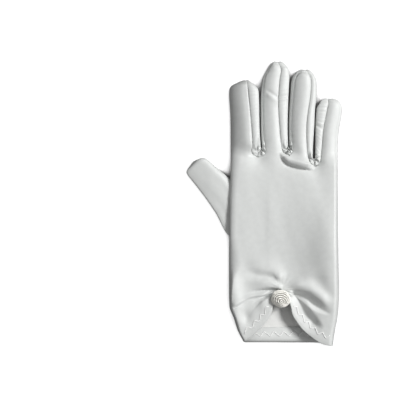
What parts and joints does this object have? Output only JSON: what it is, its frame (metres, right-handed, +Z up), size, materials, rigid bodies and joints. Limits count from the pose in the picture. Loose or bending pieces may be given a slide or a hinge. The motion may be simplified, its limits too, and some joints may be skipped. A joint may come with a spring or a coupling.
{
  "type": "bridal glove",
  "caption": "Short satin dress glove for the right hand, lying palm down, its back hem gathered up under a beaded rose.",
  "frame": {"origin": "on the surface the glove lies on, under the middle of the glove's bounding box", "axes": "+Y from the hem to the fingertips, +Z up from the palm to the back of the hand, +X from the thumb to the little finger"},
  "size_m": [0.126, 0.2301, 0.0222],
  "materials": {
    "satin": "white stretch satin with a soft sheen",
    "beads": "ivory pearl"
  },
  "bodies": {
    "root": {"trank": "satin", "fourchette_index_middle": "satin", "fourchette_middle_ring": "satin", "fourchette_ring_little": "satin", "thumb": "satin", "rosette": "beads"}
  },
  "joints": []
}
